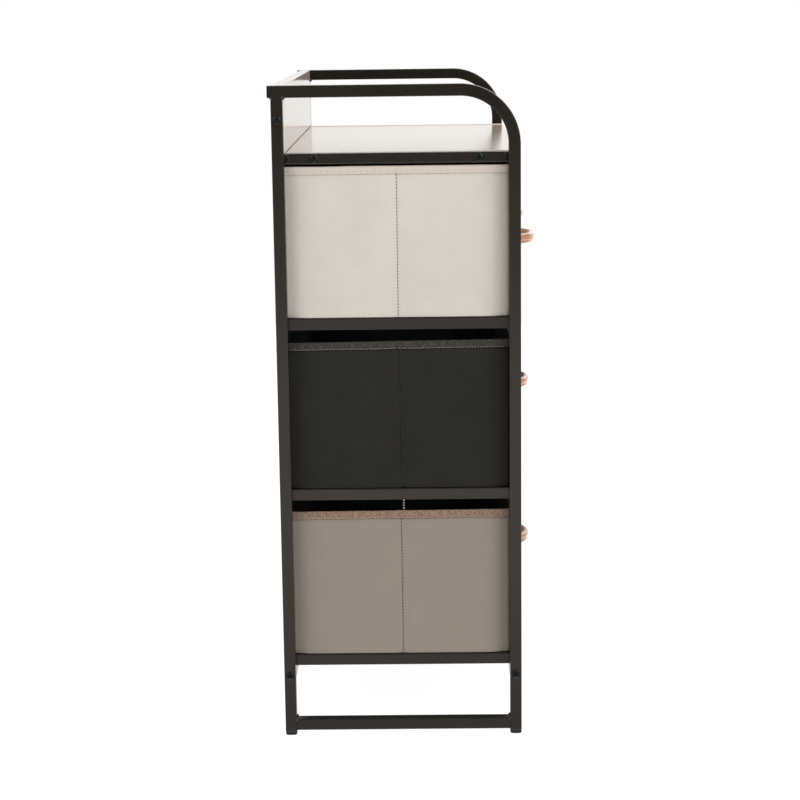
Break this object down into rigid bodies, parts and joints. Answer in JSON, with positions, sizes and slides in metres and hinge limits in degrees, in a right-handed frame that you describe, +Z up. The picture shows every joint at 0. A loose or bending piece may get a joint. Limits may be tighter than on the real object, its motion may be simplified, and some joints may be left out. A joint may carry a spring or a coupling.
{
  "type": "fabric drawer dresser",
  "caption": "Narrow-framed dresser: welded tube side frames, a laminate shelf with a back board, and sewn fabric drawers with arched wooden pulls on runners.",
  "frame": {"origin": "on the floor, at the middle of the outline seen from above", "axes": "+Z up, -Y towards the drawers' fronts, +X towards the right side frame seen from the front"},
  "size_m": [0.646, 0.339, 0.845],
  "materials": {
    "frame": "satin powder coat",
    "feet": "matt",
    "fasteners": "black oxide",
    "laminate": "pale satin laminate",
    "handle_wood": "satin lacquer",
    "base_board": "matt fibreboard",
    "cream_fabric": "matt woven",
    "cream_linen": "matt linen weave",
    "charcoal_fabric": "matt woven",
    "charcoal_linen": "matt linen weave",
    "taupe_fabric": "matt woven",
    "brown_linen": "matt linen weave"
  },
  "bodies": {
    "frame": {"left_hoop": "frame", "left_rear_leg": "frame", "left_shelf_rail": "frame", "left_upper_runner": "frame", "left_middle_runner": "frame", "left_lower_runner": "frame", "left_floor_rail": "frame", "left_front_foot": "feet", "left_front_bolt": "fasteners", "left_rear_foot": "feet", "left_rear_bolt": "fasteners", "left_back_board_bolt": "fasteners", "left_front_shelf_screw": "fasteners", "left_rear_shelf_screw": "fasteners", "right_hoop": "frame", "right_rear_leg": "frame", "right_shelf_rail": "frame", "right_upper_runner": "frame", "right_middle_runner": "frame", "right_lower_runner": "frame", "right_floor_rail": "frame", "right_front_foot": "feet", "right_front_bolt": "fasteners", "right_rear_foot": "feet", "right_rear_bolt": "fasteners", "right_back_board_bolt": "fasteners", "right_front_shelf_screw": "fasteners", "right_rear_shelf_screw": "fasteners", "front_cross_rail": "frame", "rear_cross_rail": "frame", "shelf_board": "laminate", "back_board": "laminate", "front_hanger": "frame", "rear_hanger": "frame", "centre_runner": "frame"},
    "upper_left_drawer": {"upper_left_bin": "cream_fabric", "upper_left_front_panel": "cream_linen", "upper_left_base_board": "base_board", "upper_left_handle": "handle_wood", "upper_left_left_handle_screw": "fasteners", "upper_left_right_handle_screw": "fasteners"},
    "upper_right_drawer": {"upper_right_bin": "cream_fabric", "upper_right_front_panel": "cream_linen", "upper_right_base_board": "base_board", "upper_right_handle": "handle_wood", "upper_right_left_handle_screw": "fasteners", "upper_right_right_handle_screw": "fasteners"},
    "middle_drawer": {"middle_bin": "charcoal_fabric", "middle_front_panel": "charcoal_linen", "middle_base_board": "base_board", "middle_handle": "handle_wood", "middle_left_handle_screw": "fasteners", "middle_right_handle_screw": "fasteners"},
    "lower_drawer": {"lower_bin": "taupe_fabric", "lower_front_panel": "brown_linen", "lower_base_board": "base_board", "lower_handle": "handle_wood", "lower_left_handle_screw": "fasteners", "lower_right_handle_screw": "fasteners"}
  },
  "joints": [
    {"name": "upper_left_slide", "type": "slide", "parent": "frame", "child": "upper_left_drawer", "axis": [0, -1, 0], "range_m": [0, 0.27]},
    {"name": "upper_right_slide", "type": "slide", "parent": "frame", "child": "upper_right_drawer", "axis": [0, -1, 0], "range_m": [0, 0.27]},
    {"name": "middle_slide", "type": "slide", "parent": "frame", "child": "middle_drawer", "axis": [0, -1, 0], "range_m": [0, 0.27]},
    {"name": "lower_slide", "type": "slide", "parent": "frame", "child": "lower_drawer", "axis": [0, -1, 0], "range_m": [0, 0.27]}
  ]
}
